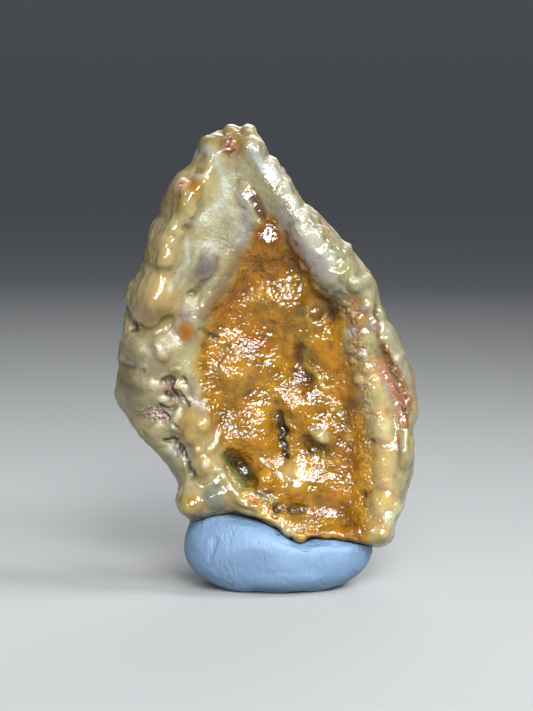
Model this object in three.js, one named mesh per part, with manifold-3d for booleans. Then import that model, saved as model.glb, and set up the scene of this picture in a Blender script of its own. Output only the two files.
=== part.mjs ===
// A botryoidal agate: a leaf-shaped slab of chalcedony, with a sunken amber face inside a rim of cream
// knobs, standing in the lump of display putty that it has been pressed into.
// Millimetres, +Z up. The sunken face looks along -Y, and the origin is on the table under the middle.
import * as THREE from "three";
import { mergeVertices } from "three/addons/utils/BufferGeometryUtils.js";
import Module from "manifold-3d";

// ---- Driving dimensions ----
const STONE_DETAIL = 19; // how finely the icosahedron that the stone is shaped from is divided
const PUTTY_DETAIL = 7;
const FRONT_DEPTH = 4.6; // from the stone's middle surface to its front, before the relief
const BACK_DEPTH = 3.3;
const FRONT_SHARE = 0.66; // share of the triangles that the front gets, because its relief is finer
const FACE_SHARE = 0.5; // share of each side that is face, and the rest is the rounded edge
const LEFT_ROUNDING = 4.8; // how far in from the outline the edge begins to turn over
const RIGHT_ROUNDING = 2.3;
const FOOT_ROUNDING = 1.6; // the same along the broken lower edge
const FOOT_HEIGHTS = [9, 20]; // where the foot's rounding begins to give way to the side's, and ends
const SIDE_BLEND = 0.5; // how much of the turn from left to right is shared by both sides' roundings
const BASIN_SINK = 2.2;
const BASIN_SLOPE = 2.6; // how far inside its outline the basin reaches its full depth
const BASIN_LIP = 0.9; // how far outside its outline the basin begins to sink
const BASIN_TOP = { from: 38, to: 47, share: 0.35 }; // the basin is shallower towards its pointed top
const SWAY = { reach: 0.8, level: 12, height: 11 }; // the middle surface bends forwards and back
const PUTTY_GAP = 0.3; // between the stone and the putty that it is pressed into

// ---- Outlines, seen from the front: [x, z], clockwise from the top ----
const STONE_MIDDLE = [-0.5, 29];
const STONE_OUTLINE = [
  [-2.4, 58.2], [-1.1, 57], [-0.4, 54.8], [1, 53], [2.9, 50.5], [4.3, 48.9], [6.1, 46.8], [8, 45],
  [9.6, 43.2], [10.5, 42.3], [11.6, 40.3], [12.8, 39.6], [13.3, 38], [14, 35.4], [15.5, 33.1],
  [16.6, 30.3], [17.4, 28], [18.4, 25], [18.5, 22], [18.3, 18.5], [18.1, 15.2], [17.4, 12.5],
  [16.9, 10.2], [15.7, 7.8], [15.2, 6], [14.2, 5.3], [11, 5.8], [8, 6.3], [4.9, 6.2], [3.9, 5.7],
  [2.8, 6.3], [0.3, 8.1], [-2.5, 8.9], [-6.4, 9.4], [-9.3, 8.6], [-11, 9.8], [-11.3, 12],
  [-11.5, 14.4], [-13, 16.2], [-16.3, 19.1], [-17.8, 21.8], [-19, 24.5], [-18.5, 27.2],
  [-18.5, 29.6], [-18.2, 31.6], [-17.7, 33.1], [-18.1, 35.6], [-17.6, 37.7], [-16, 39.6],
  [-15.2, 42.2], [-14.5, 45], [-13.2, 47.2], [-12.3, 50], [-11.2, 51.9], [-9.7, 52.8],
  [-8.6, 54.8], [-7.8, 56.4], [-6.6, 57.2], [-5.5, 57.4], [-4.6, 58], [-3.4, 57.7],
];
const BASIN_OUTLINE = [
  [0.9, 47.2], [2.6, 44.5], [5.6, 41], [7.4, 38], [9, 35.5], [9.5, 31.5], [10.8, 28], [11.8, 24],
  [12.4, 19.5], [12.3, 14.5], [11.6, 9.5], [10.4, 7.4], [6, 7.6], [2.6, 9.4], [0.4, 11], [-3, 13.2],
  [-6, 16.2], [-6.4, 19.8], [-8, 23], [-9.2, 27], [-9.2, 31], [-7.8, 34.4], [-5.6, 38.2],
  [-3.2, 41.6], [-2, 45.6],
];

// ---- Relief: a positive rise stands out of the surface, and a negative one is sunk in it ----
// Knobs have a crease at their foot. Size is half the width and half the height, and turn is in
// degrees, anticlockwise.
const FRONT_KNOBS = {
  leftKnob: { at: [-14.6, 36.7], size: [4, 3.9], turn: 20, rise: 2.3 },
  leftShoulder: { at: [-12.9, 43.4], size: [2.8, 4.4], turn: -16, rise: 1.7 },
  upperLeft: { at: [-10, 50], size: [2.9, 2.8], turn: 0, rise: 2 },
  tipLeft: { at: [-7, 55.2], size: [2, 1.9], turn: 0, rise: 1.3 },
  tipRight: { at: [-2.4, 56], size: [1.9, 2], turn: 0, rise: 1.2 },
  lens: { at: [-7.6, 41], size: [1.9, 2.9], turn: -22, rise: 0.9 },
  cheek: { at: [-14.2, 30], size: [3.8, 2.8], turn: 0, rise: 1.7 },
  jaw: { at: [-15.6, 24.8], size: [3.2, 3.6], turn: 10, rise: 1.2 },
  yellowKnob: { at: [-8.7, 20.9], size: [2.3, 2.5], turn: 0, rise: 1.9 },
  lowerKnob: { at: [-8.2, 16.4], size: [1.9, 2.5], turn: -12, rise: 1.2 },
  leftFoot: { at: [-9.7, 11.2], size: [2.4, 2.4], turn: 0, rise: 1.6 },
  greyFoot: { at: [-6.4, 12.3], size: [2.2, 2.1], turn: 0, rise: 1 },
  toe: { at: [3.7, 7.4], size: [1.8, 1.9], turn: 0, rise: 1.1 },
  rightFoot: { at: [13.6, 7.8], size: [2.5, 2.4], turn: 0, rise: 1.4 },
  paleKnob: { at: [6.4, 19.7], size: [2.2, 1.7], turn: -28, rise: 1.3 },
  amberLump: { at: [-0.6, 14.3], size: [1.9, 1.8], turn: 0, rise: 1.3 },
  outerOval: { at: [16.6, 17.6], size: [1.6, 2.8], turn: 0, rise: 1 },
};
// Swells and hollows fade out softly at their foot.
const FRONT_SWELLS = {
  leftAmber: { at: [-4.5, 27], size: [5, 6], turn: 0, rise: 1.2 },
  lowAmber: { at: [-2.4, 19.6], size: [4, 3.6], turn: 0, rise: 1.1 },
  lowerMiddle: { at: [3.6, 13.6], size: [5, 4.4], turn: 0, rise: 1.2 },
  middle: { at: [4, 23.2], size: [3.6, 2.8], turn: 0, rise: 1 },
  basinTop: { at: [0.3, 42.4], size: [3.2, 4.2], turn: 0, rise: 1.3 },
  upperMiddle: { at: [1.8, 36], size: [5, 4], turn: 0, rise: 1.2 },
  brownHollow: { at: [3.8, 28], size: [3.2, 4.4], turn: 16, rise: -1.5 },
  darkHollow: { at: [8, 35.4], size: [2.2, 3.4], turn: 0, rise: -1.2 },
  tealHollow: { at: [-3.1, 15.3], size: [1.9, 4.2], turn: 46, rise: -2 },
  ringHollow: { at: [5.2, 17.6], size: [3.2, 1.9], turn: -28, rise: -1.1 },
  toeHollow: { at: [2.6, 10.4], size: [3.4, 1.7], turn: -16, rise: -1.3 },
  rootedCavity: { at: [-11.5, 24.6], size: [2.2, 3.4], turn: 38, rise: -1.8 },
  jawCavity: { at: [-13.4, 22.2], size: [2.6, 1.7], turn: -18, rise: -1.1 },
  lensPit: { at: [-9.4, 37.4], size: [1.6, 1.6], turn: 0, rise: -1.2 },
};
const BACK_SWELLS = {
  boss: { at: [-3, 30], size: [12, 14], turn: 10, rise: 2.4 },
  shoulder: { at: [8, 21], size: [9, 10], turn: -15, rise: 1.8 },
  crown: { at: [-5, 46], size: [7, 9], turn: 20, rise: 1.6 },
  hollow: { at: [5, 38], size: [6, 7], turn: 0, rise: -1.8 },
  notch: { at: [-11, 20], size: [6, 6], turn: 30, rise: -1.4 },
};
// Ridges and grooves follow a path. Width is from the middle line to the foot.
const FRONT_RIDGES = {
  leftCrest: { rise: 0.9, width: 2.8, path: [[-6.5, 55], [-10.5, 49], [-13, 42.5], [-14, 37]] },
  rightCrest: { rise: 1.6, width: 3.6, path: [[-1, 55.4], [2.2, 50.7], [4.9, 46.1], [7.2, 41.8], [8.4, 38.9]] },
  outerCrest: { rise: 0.9, width: 1.9, path: [[13, 38], [14.6, 33], [16.8, 28], [17.7, 23], [17.5, 18]] },
  footCrest: { rise: 1, width: 1.8, path: [[-6.4, 15.2], [-4, 12.4], [-1, 10.4], [1.5, 8.8]] },
  redGroove: { rise: -0.8, width: 1.5, path: [[13.4, 29.6], [14.4, 27.3], [15.9, 25], [16.1, 20.8]] },
  knobCrease: { rise: -0.8, width: 1.5, path: [[-17.2, 33], [-15, 32.7], [-12.6, 33.4]] },
  jawCrevice: { rise: -1.5, width: 1.5, path: [[-12.5, 19.1], [-11, 18.3], [-10.2, 16.5], [-9.6, 14.6]] },
  blackSplit: { rise: -1.5, width: 1.4, path: [[1.3, 21.9], [1.8, 20], [1.7, 18.6], [2.3, 16.8]] },
};
// A beaded ridge: knobs of alternating size, strung along a path.
const BEAD_PATH = [[11, 38.6], [11.9, 34], [12.3, 29], [13.2, 24.8], [14.3, 20], [14.6, 14], [14.4, 9.6]];
const BEAD_COUNT = 10;
const BEAD_SIZES = [1.9, 1.6];
const BEAD_STRETCH = 1.3; // how much longer a bead is than it is wide
const BEAD_RISE = 1.1;

// Grape-like caps that cover each face: how big a cell of them is, how high a cap stands, and which
// layer of the endless heap of balls they are cut from.
const BASIN_GRAPES = { cell: 2.5, rise: 0.8, layer: 3 };
const RIM_GRAPES = { cell: 2.8, rise: 0.6, layer: 9 };
const BACK_GRAPES = { cell: 4.6, rise: 2.1, layer: 20 };
const BACK_SEED_GRAPES = { cell: 2.4, rise: 0.6, layer: 30 };
const EDGE_GRAPES = { cell: 3.8, rise: 1.1 };
const SMALLEST_BALL = 0.6; // as a share of a cell: the biggest ball's radius is one whole cell

// How much thinner the stone gets: by what share, and from where to where it sets in.
const TIP_THINNING = { share: 0.3, heights: [44, 58] };
const JAW_THINNING = { share: 0.4, heights: [20, 30], leftOf: [9, 18] };

// ---- Putty lump ----
const PUTTY_MIDDLE = [1.25, 0, 4.9];
const PUTTY_HALF = [11.9, 8, 6]; // half its length, depth and height, before the table flattens it
const PUTTY_SQUARENESS = 2.15; // 2 is an ellipsoid, and more is boxier
const PUTTY_FALL = 0.17; // how much its top falls to the right, per millimetre
const PUTTY_SOFTNESS = 0.3; // how softly its front top edge gives way to the stone's lower edge
const TABLE_CUT = 40; // side of the block that cuts its underside flat

// ---- Fineness of the work ----
const WELD = 1e-4; // points closer than this are one point
const OUTLINE_POINTS = 600;
const OUTLINE_DIVISIONS = 20; // for each given point of the outline
const BASIN_POINTS = 300;
const RIDGE_POINTS = 30;
const WEAR = 0.5; // how far a point moves to the middle of its neighbours when the surface is worn

const { smoothstep, lerp, degToRad } = THREE.MathUtils;
const wasm = await Module();
wasm.setup();

// Leaves a geometry with shared vertices and nothing but positions.
function welded(geometry) {
  geometry.deleteAttribute("normal");
  geometry.deleteAttribute("uv");
  return mergeVertices(geometry, WELD);
}

function solidFrom(geometry) {
  return new wasm.Manifold(
    new wasm.Mesh({
      numProp: 3,
      vertProperties: new Float32Array(geometry.getAttribute("position").array),
      triVerts: new Uint32Array(geometry.index.array),
    }),
  );
}

function geometryFrom(solid) {
  const { vertProperties, triVerts } = solid.getMesh();
  return new THREE.BufferGeometry()
    .setAttribute("position", new THREE.BufferAttribute(new Float32Array(vertProperties), 3))
    .setIndex(new THREE.BufferAttribute(new Uint32Array(triVerts), 1));
}

function curveThrough(points, closed) {
  const vectors = points.map(([x, z]) => new THREE.Vector3(x, 0, z));
  return new THREE.CatmullRomCurve3(vectors, closed, "centripetal");
}

const total = (values) => values.reduce((sum, value) => sum + value, 0);
const softMin = (a, b, softness) => -softness * Math.log(Math.exp(-a / softness) + Math.exp(-b / softness));
const awayFrom = (points, x, z) => Math.min(...points.map((point) => Math.hypot(point.x - x, point.z - z)));

const stoneCurve = curveThrough(STONE_OUTLINE, true);
stoneCurve.arcLengthDivisions = OUTLINE_DIVISIONS * STONE_OUTLINE.length;
const lowerEdge = stoneCurve.getSpacedPoints(OUTLINE_POINTS).filter((point) => point.z < STONE_MIDDLE[1]);
const basinEdge = curveThrough(BASIN_OUTLINE, true).getSpacedPoints(BASIN_POINTS);

// How high the lower side of the stone's outline is at x.
function lowerEdgeHeight(x) {
  return lowerEdge.reduce((near, point) => (Math.abs(point.x - x) < Math.abs(near.x - x) ? point : near)).z;
}

// How far a point is inside the basin's outline. Outside it, this is negative.
function depthInBasin(x, z) {
  const crossings = basinEdge.filter((to, i) => {
    const from = basinEdge.at(i - 1);
    const crosses = to.z > z !== from.z > z;
    return crosses && x < to.x + ((z - to.z) * (from.x - to.x)) / (from.z - to.z);
  });
  return awayFrom(basinEdge, x, z) * (crossings.length % 2 === 1 ? 1 : -1);
}

// ---- Relief ----
// 1 at the middle of a form, falling to 0 at its foot.
function fullness({ at, size, turn }, x, z) {
  const angle = degToRad(turn);
  const [dx, dz] = [x - at[0], z - at[1]];
  const across = (dx * Math.cos(angle) + dz * Math.sin(angle)) / size[0];
  const along = (dz * Math.cos(angle) - dx * Math.sin(angle)) / size[1];
  return Math.max(0, 1 - across ** 2 - along ** 2);
}

const beads = curveThrough(BEAD_PATH, false)
  .getSpacedPoints(BEAD_COUNT - 1)
  .map(({ x, z }, i) => ({
    at: [x, z],
    size: [BEAD_SIZES[i % 2], BEAD_STRETCH * BEAD_SIZES[i % 2]],
    turn: 0,
    rise: BEAD_RISE,
  }));
const frontKnobs = [...Object.values(FRONT_KNOBS), ...beads];
const ridgeLines = Object.values(FRONT_RIDGES).map(({ path, width, rise }) => ({
  points: curveThrough(path, false).getSpacedPoints(RIDGE_POINTS),
  width,
  rise,
}));

function knobRelief(x, z) {
  return Math.max(...frontKnobs.map((knob) => knob.rise * fullness(knob, x, z)));
}

function swellRelief(swells, x, z) {
  return total(Object.values(swells).map((swell) => swell.rise * fullness(swell, x, z) ** 2));
}

function ridgeRelief(x, z) {
  const rises = ridgeLines.map(({ points, width, rise }) => {
    return rise * Math.max(0, 1 - (awayFrom(points, x, z) / width) ** 2);
  });
  return total(rises);
}

// A repeatable number from 0 to 1 for each whole-number cell: the far decimals of a fast wave.
function scatter(i, j, k, salt) {
  const wave = Math.sin(i * 127.1 + j * 311.7 + k * 74.7 + salt * 53.3) * 43758.5453;
  return wave - Math.floor(wave);
}

// Grape-like caps: a ball in each cell of a grid, and the height of the tallest one over the point.
function grapes({ cell, rise }, x, y, z) {
  const home = [x, y, z].map((value) => Math.floor(value / cell));
  const nearby = [-1, 0, 1];
  const heights = nearby.flatMap((di) =>
    nearby.flatMap((dj) =>
      nearby.map((dk) => {
        const [i, j, k] = [home[0] + di, home[1] + dj, home[2] + dk];
        const away = Math.hypot(
          x / cell - i - scatter(i, j, k, 1),
          y / cell - j - scatter(i, j, k, 2),
          z / cell - k - scatter(i, j, k, 3),
        );
        const radius = lerp(SMALLEST_BALL, 1, scatter(i, j, k, 4));
        return Math.sqrt(Math.max(0, radius ** 2 - away ** 2));
      }),
    ),
  );
  return rise * Math.max(...heights);
}

function frontRelief(x, z) {
  const inBasin = smoothstep(depthInBasin(x, z), -BASIN_LIP, BASIN_SLOPE);
  const basinLumps = grapes(BASIN_GRAPES, x, BASIN_GRAPES.layer, z);
  const rimLumps = grapes(RIM_GRAPES, x, RIM_GRAPES.layer, z);
  const forms = knobRelief(x, z) + swellRelief(FRONT_SWELLS, x, z) + ridgeRelief(x, z);
  const sink = BASIN_SINK * (1 - BASIN_TOP.share * smoothstep(z, BASIN_TOP.from, BASIN_TOP.to));
  return forms + lerp(rimLumps, basinLumps, inBasin) - sink * inBasin;
}

function backRelief(x, z) {
  const lumps = grapes(BACK_GRAPES, x, BACK_GRAPES.layer, z);
  const seeds = grapes(BACK_SEED_GRAPES, x, BACK_SEED_GRAPES.layer, z);
  return swellRelief(BACK_SWELLS, x, z) + lumps + seeds;
}

// The stone is thinner towards its tip and along its lower left side.
function slimness(x, z) {
  const tip = TIP_THINNING.share * smoothstep(z, ...TIP_THINNING.heights);
  const low = 1 - smoothstep(z, ...JAW_THINNING.heights);
  const jaw = JAW_THINNING.share * smoothstep(-x, ...JAW_THINNING.leftOf) * low;
  return 1 - tip - jaw;
}

// ---- The stone: a ball drawn out to the outline, rounded at its edge and raised by the relief ----
function shapeStone(direction) {
  const split = 2 * FRONT_SHARE - 1; // where the front ends, along the ball's own depth
  const isFront = direction.y < split;
  const share = isFront ? 1 - (split - direction.y) / (1 + split) : 1 - (direction.y - split) / (1 - split);
  const clockwise = Math.atan2(direction.x, direction.z) / (2 * Math.PI);
  const rim = stoneCurve.getPointAt((clockwise + 1) % 1);
  const [spanX, spanZ] = [rim.x - STONE_MIDDLE[0], rim.z - STONE_MIDDLE[1]];
  const reach = Math.hypot(spanX, spanZ);
  const [outX, outZ] = [spanX / reach, spanZ / reach];
  const sideRounding = lerp(LEFT_ROUNDING, RIGHT_ROUNDING, smoothstep(outX, -SIDE_BLEND, SIDE_BLEND));
  const rounding = lerp(FOOT_ROUNDING, sideRounding, smoothstep(rim.z, ...FOOT_HEIGHTS));
  const tilt = Math.max(0, (share - FACE_SHARE) / (1 - FACE_SHARE)) * (Math.PI / 2);
  const face = (reach - rounding) * Math.sqrt(Math.min(1, share / FACE_SHARE));
  const out = face + rounding * Math.sin(tilt);
  const x = STONE_MIDDLE[0] + out * outX;
  const z = STONE_MIDDLE[1] + out * outZ;
  const depth = isFront ? FRONT_DEPTH + frontRelief(x, z) : BACK_DEPTH + backRelief(x, z);
  const y = depth * slimness(x, z) * Math.cos(tilt) * (isFront ? -1 : 1);
  const lump = (grapes(EDGE_GRAPES, x, y, z) - EDGE_GRAPES.rise / 2) * Math.sin(tilt) ** 2;
  const sway = SWAY.reach * Math.sin((z - SWAY.level) / SWAY.height);
  return new THREE.Vector3(x + lump * outX, y + sway, z + lump * outZ);
}

// ---- The putty: a rounded lump, kept below the stone's lower edge in front ----
function shapePutty(direction) {
  const power = PUTTY_SQUARENESS;
  const stretch = total(direction.toArray().map((part) => Math.abs(part) ** power)) ** (-1 / power);
  const [px, py, pz] = direction.toArray().map((part, i) => PUTTY_HALF[i] * part * stretch);
  const fall = (PUTTY_FALL * px * Math.max(0, pz)) / PUTTY_HALF[2];
  const x = PUTTY_MIDDLE[0] + px;
  const y = PUTTY_MIDDLE[1] + py;
  const z = PUTTY_MIDDLE[2] + pz - fall;
  return new THREE.Vector3(x, y, y < 0 ? softMin(z, lowerEdgeHeight(x), PUTTY_SOFTNESS) : z);
}

// A ball whose every vertex is moved to where shape() puts its direction.
function shapedBall(detail, shape) {
  const geometry = welded(new THREE.IcosahedronGeometry(1, detail));
  const position = geometry.getAttribute("position");
  for (let i = 0; i < position.count; i++) {
    const direction = new THREE.Vector3().fromBufferAttribute(position, i).normalize();
    position.setXYZ(i, ...shape(direction).toArray());
  }
  return geometry;
}

// The same surface, worn smoother: every vertex moves towards the middle of its neighbours.
function worn(geometry) {
  const position = geometry.getAttribute("position");
  const corners = geometry.index.array;
  const sums = Array.from({ length: position.count }, () => new THREE.Vector3());
  const counts = new Array(position.count).fill(0);
  corners.forEach((corner, i) => {
    const next = corners[i % 3 === 2 ? i - 2 : i + 1];
    sums[corner].add(new THREE.Vector3().fromBufferAttribute(position, next));
    counts[corner] += 1;
  });
  sums.forEach((sum, i) => {
    const vertex = new THREE.Vector3().fromBufferAttribute(position, i);
    position.setXYZ(i, ...vertex.lerp(sum.divideScalar(counts[i]), WEAR).toArray());
  });
  return geometry;
}

// The same surface, moved outwards by a clearance.
function swollen(geometry, clearance) {
  const grown = geometry.clone();
  grown.computeVertexNormals();
  const position = grown.getAttribute("position");
  const normal = grown.getAttribute("normal");
  for (let i = 0; i < position.count; i++) {
    const outward = new THREE.Vector3().fromBufferAttribute(normal, i);
    const moved = new THREE.Vector3().fromBufferAttribute(position, i).addScaledVector(outward, clearance);
    position.setXYZ(i, ...moved.toArray());
  }
  grown.deleteAttribute("normal");
  return grown;
}

const stoneGeometry = worn(shapedBall(STONE_DETAIL, shapeStone));
const table = welded(new THREE.BoxGeometry(TABLE_CUT, TABLE_CUT, TABLE_CUT)).translate(0, 0, -TABLE_CUT / 2);
const puttySolid = solidFrom(shapedBall(PUTTY_DETAIL, shapePutty))
  .subtract(solidFrom(swollen(stoneGeometry, PUTTY_GAP)))
  .subtract(solidFrom(table));

// ---- The two pieces ----
const agate = new THREE.Mesh(
  stoneGeometry,
  new THREE.MeshStandardMaterial({ color: 0xc0923a, roughness: 0.15, metalness: 0 }),
);
agate.name = "agate";

const putty = new THREE.Mesh(
  geometryFrom(puttySolid),
  new THREE.MeshStandardMaterial({ color: 0x7d93ad, roughness: 0.6, metalness: 0 }),
);
putty.name = "putty";

const specimen = new THREE.Group();
specimen.add(agate, putty);

export default specimen;
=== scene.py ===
# The looks of a botryoidal agate on its putty: fine relief, colours, wet gloss and soft translucency.
# Lengths on the stone and the putty are in millimetres, and places are in the frame's own X and Z.
# Meshes, lamps, floor and camera are in metres.
import math

import bmesh
import bpy
import numpy as np
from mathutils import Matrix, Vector
from mathutils.bvhtree import BVHTree


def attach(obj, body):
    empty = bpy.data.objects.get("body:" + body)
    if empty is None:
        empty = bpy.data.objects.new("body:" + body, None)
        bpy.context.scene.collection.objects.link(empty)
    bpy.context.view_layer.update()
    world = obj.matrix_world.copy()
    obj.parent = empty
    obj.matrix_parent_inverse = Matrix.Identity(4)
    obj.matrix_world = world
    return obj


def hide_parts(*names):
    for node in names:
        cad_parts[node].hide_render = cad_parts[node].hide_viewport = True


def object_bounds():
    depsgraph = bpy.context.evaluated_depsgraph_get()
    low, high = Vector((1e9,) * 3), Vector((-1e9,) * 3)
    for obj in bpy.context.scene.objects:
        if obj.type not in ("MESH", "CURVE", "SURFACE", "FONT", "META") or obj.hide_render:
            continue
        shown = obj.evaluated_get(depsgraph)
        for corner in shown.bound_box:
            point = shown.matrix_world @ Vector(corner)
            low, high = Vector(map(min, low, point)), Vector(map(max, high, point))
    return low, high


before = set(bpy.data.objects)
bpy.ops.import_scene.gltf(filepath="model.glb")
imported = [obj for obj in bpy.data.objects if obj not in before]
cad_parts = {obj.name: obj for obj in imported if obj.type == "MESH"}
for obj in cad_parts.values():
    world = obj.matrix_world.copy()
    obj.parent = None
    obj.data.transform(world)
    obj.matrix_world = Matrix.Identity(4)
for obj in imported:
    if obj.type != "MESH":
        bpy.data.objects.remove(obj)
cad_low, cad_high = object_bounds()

MM = 0.001

# ---- Camera, light and floor ----
CAMERA_ELEVATION = 6  # degrees above the table
CAMERA_DISTANCE = 260 * MM
VIEW_HEIGHT = 88.9 * MM  # what the view takes in at the stone
VIEW_MIDDLE = Vector((-0.2, 0, 29.2)) * MM
SENSOR = 36  # millimetres, the view's long side
NEAREST_SEEN = 10 * MM
LAMP_DISTANCE = 0.6
LAMP_TARGET = 30 * MM  # the height that the lamps look at
BEAM = 50  # degrees, how widely a lamp shines: the table in front of the stone stays dim
# Square lamps: degrees right of the camera's side, degrees above the table, side, brightness, colour.
LAMPS = {
    "front": (4, 24, 0.23, 34, (0.97, 0.99, 1)),
    "key": (14, 38, 0.185, 38, (0.96, 0.98, 1)),
    "window": (42, 31, 0.16, 38, (0.9, 0.95, 1)),
    "left": (-32, 12, 0.1, 34, (0.95, 0.98, 1)),
    "side": (80, 44, 0.24, 28, (0.95, 0.98, 1)),
    "back": (172, 34, 0.5, 6.2, (1, 0.99, 0.97)),
}
HORIZON_COLOUR = "44484d"
SKY_COLOUR = "7c8189"
SKY_FROM = 0.5  # the upward part of a direction from which the sky has its full colour
FLOOR_COLOUR = (0.3, 0.3, 0.296, 1)
FLOOR_ROUGHNESS = 0.9
FLOOR_REACH = 3  # from its middle to its edges


# ---- Small mathematics on arrays of points ----
def smoothstep(value, low, high):
    share = np.clip((value - low) / (high - low), 0, 1)
    return share * share * (3 - 2 * share)


def scatter(i, j, k, salt):
    """A repeatable number from 0 to 1 for each whole-number cell. Each salt gives other numbers."""
    wave = np.sin(i * 127.1 + j * 311.7 + k * 74.7 + salt * 53.3) * 43758.5453
    return wave - np.floor(wave)


def seeds_near(places, cell):
    """For each of the 27 cells round every place: its numbers, and how far off its seed is, in cells."""
    home = np.floor(places / cell)
    steps = (-1, 0, 1)
    for step in [(a, b, c) for a in steps for b in steps for c in steps]:
        numbers = (home + step).T
        seed = numbers + np.stack([scatter(*numbers, salt) for salt in (1, 2, 3)])
        yield numbers, np.linalg.norm(places.T / cell - seed, axis=0)


def grapes(places, height, cell, shift=0):
    """Heights of round caps that stand side by side. Another shift gives other caps."""
    places = places + shift
    tallest = np.zeros(len(places))
    for numbers, away in seeds_near(places, cell):
        radius = 0.6 + 0.4 * scatter(*numbers, 4)
        tallest = np.maximum(tallest, np.sqrt(np.maximum(0, radius**2 - away**2)))
    return height * tallest


def clouds(places, cell, octaves=3):
    """Soft noise, from about -1 to 1, with finer noise added at half the size and half the strength."""
    total = np.zeros(len(places))
    for octave in range(octaves):
        scaled = places / cell * 2**octave + 17.3 * octave
        home = np.floor(scaled)
        part = scaled - home
        part = part * part * (3 - 2 * part)
        for corner in [(a, b, c) for a in (0, 1) for b in (0, 1) for c in (0, 1)]:
            share = np.prod(np.where(np.array(corner) == 1, part, 1 - part), axis=1)
            total += share * (2 * scatter(*(home + corner).T, 5) - 1) / 2**octave
    return total


def smooth_path(points, steps=8):
    """A rounded path through the points, as a Catmull-Rom curve."""
    knots = np.array([points[0], *points, points[-1]], float)
    made = []
    for a, b, c, d in zip(knots, knots[1:], knots[2:], knots[3:]):
        for t in np.arange(steps) / steps:
            bend = (2 * a - 5 * b + 4 * c - d) * t * t + (3 * b - a - 3 * c + d) * t**3
            made.append(0.5 * (2 * b + (c - a) * t + bend))
    return np.array([*made, knots[-1]])


def away_from_path(x, z, points):
    """How far each place is from a rounded path."""
    path = smooth_path(points)
    nearest = np.full(len(x), 1e9)
    for start, end in zip(path, path[1:]):
        run = end - start
        share = ((x - start[0]) * run[0] + (z - start[1]) * run[1]) / max(run @ run, 1e-9)
        share = np.clip(share, 0, 1)
        gap = np.hypot(x - start[0] - share * run[0], z - start[1] - share * run[1])
        nearest = np.minimum(nearest, gap)
    return nearest


def depth_inside(x, z, outline):
    """How far each place is inside a closed outline. Outside it, this is negative."""
    path = smooth_path([*outline, outline[0]])
    inside = np.zeros(len(x), bool)
    for (ax, az), (bx, bz) in zip(path, path[1:]):
        crosses = (az > z) != (bz > z)
        rise = bz - az if abs(bz - az) > 1e-9 else 1e-9
        inside ^= crosses & (x < ax + (z - az) * (bx - ax) / rise)
    return away_from_path(x, z, [*outline, outline[0]]) * np.where(inside, 1, -1)


# ---- Meshes ----
SAME_POINT = 0.001 * MM  # corners of the frame's loose triangles that are nearer than this are one point


def mesh_object(name, bm):
    mesh = bpy.data.meshes.new(name)
    bm.to_mesh(mesh)
    bm.free()
    mesh.shade_smooth()
    piece = bpy.data.objects.new(name, mesh)
    bpy.context.scene.collection.objects.link(piece)
    return piece


def finer_copy(node, name, cuts, passes):
    """A piece made from a node of the frame: its triangles joined up, cut smaller and smoothed."""
    bm = bmesh.new()
    bm.from_mesh(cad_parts[node].data)
    bmesh.ops.remove_doubles(bm, verts=bm.verts, dist=SAME_POINT)
    bmesh.ops.subdivide_edges(bm, edges=bm.edges, cuts=cuts, use_grid_fill=True)
    for _ in range(passes):
        bmesh.ops.smooth_vert(
            bm, verts=bm.verts, factor=0.5, use_axis_x=True, use_axis_y=True, use_axis_z=True
        )
    return mesh_object(name, bm)


def points_of(mesh):
    points = np.empty(3 * len(mesh.vertices), np.float32)
    mesh.vertices.foreach_get("co", points)
    return points.reshape(-1, 3).astype(float)


def normals_of(mesh):
    normals = np.empty(3 * len(mesh.vertices), np.float32)
    mesh.vertex_normals.foreach_get("vector", normals)
    return normals.reshape(-1, 3).astype(float)


def move_points(mesh, points):
    """Puts the vertices at the points, or where the frame's box ends if a point is past it."""
    points = np.clip(points, cad_low, cad_high)
    mesh.vertices.foreach_set("co", points.astype(np.float32).ravel())
    mesh.update()


def keep_values(mesh, name, values):
    """Stores one number or one colour for each vertex, for the materials."""
    if values.ndim == 1:
        mesh.attributes.new(name, "FLOAT", "POINT").data.foreach_set("value", values.astype(np.float32))
        return
    colours = np.column_stack([values, np.ones(len(values))]).astype(np.float32)
    mesh.attributes.new(name, "FLOAT_COLOR", "POINT").data.foreach_set("color", colours.ravel())


def evened(mesh, values, passes):
    """The columns of values after each vertex has taken its neighbours' mean some number of times."""
    ends = np.empty(2 * len(mesh.edges), np.int32)
    mesh.edges.foreach_get("vertices", ends)
    a, b = ends.reshape(-1, 2).T
    number = len(mesh.vertices)
    neighbours = np.bincount(a, minlength=number) + np.bincount(b, minlength=number)
    for _ in range(passes):
        sums = [np.bincount(a, each[b], number) + np.bincount(b, each[a], number) for each in values.T]
        values = (np.array(sums) / neighbours).T
    return values


def hollowness(mesh, passes):
    """How far each vertex lies under the middle of its neighbours, in millimetres."""
    points = points_of(mesh) / MM
    return np.sum((evened(mesh, points, passes) - points) * normals_of(mesh), axis=1)


# ---- The stone's form ----
STONE_CUTS = 3  # new points on each edge of the frame's coarse stone
STONE_SMOOTHING = 9
TIP = (55.5, 58)  # the heights between which the tip begins and ends
TIP_SINK = 0.5  # lowers the tip, so that its small knobs stay under the frame's top
HOLLOW_REACH = 5  # how far round it a vertex is compared, in vertices, to find the hollows
# Where a look starts and where it is full, by how squarely the skin faces forwards: 1 is straight ahead.
FRONT = (0, 0.5)
FORMS = (-0.5, 0.1)
FLAT = (0.3, 0.7)  # forwards or backwards
BASIN_EDGE = (-0.5, 1.2)  # where the basin starts and is full, by how far inside its outline a place is
KNOB_EDGE = 0.9  # below 1, a knob's foot is steeper
SWELL_EDGE = 1.5  # above 1, a soft form's foot runs out more gently
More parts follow.
